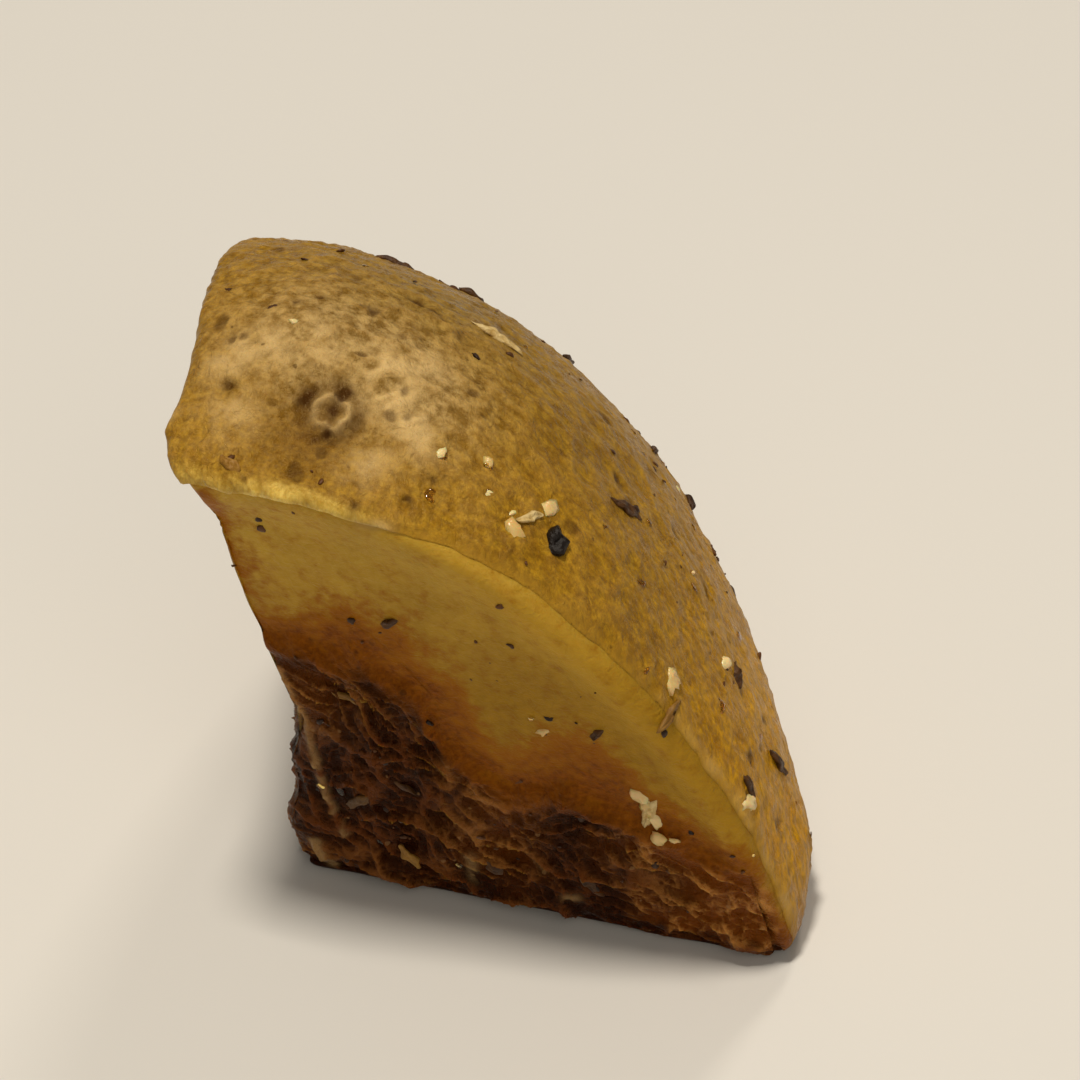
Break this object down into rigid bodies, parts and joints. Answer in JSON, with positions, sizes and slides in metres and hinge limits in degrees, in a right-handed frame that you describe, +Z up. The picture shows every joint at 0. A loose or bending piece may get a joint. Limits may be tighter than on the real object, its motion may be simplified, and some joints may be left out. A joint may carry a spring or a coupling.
{
  "type": "baked potato chunk",
  "caption": "Herb-roasted potato chunk with its skin on: an end piece cut flat across and lengthwise, with a dark crust along the foot of its cut.",
  "frame": {"origin": "middle of the bottom of the chunk's box, on the flat cut that it rests on", "axes": "+Z up; the lengthwise cut that shows faces -Y; the other lengthwise cut faces -X; skin wraps +X, +Y and the top"},
  "size_m": [0.0376, 0.0414, 0.0404],
  "materials": {
    "potato": "oily baked skin and flesh, satin, with a dark crust"
  },
  "bodies": {
    "root": {"potato_chunk": "potato"}
  },
  "joints": []
}
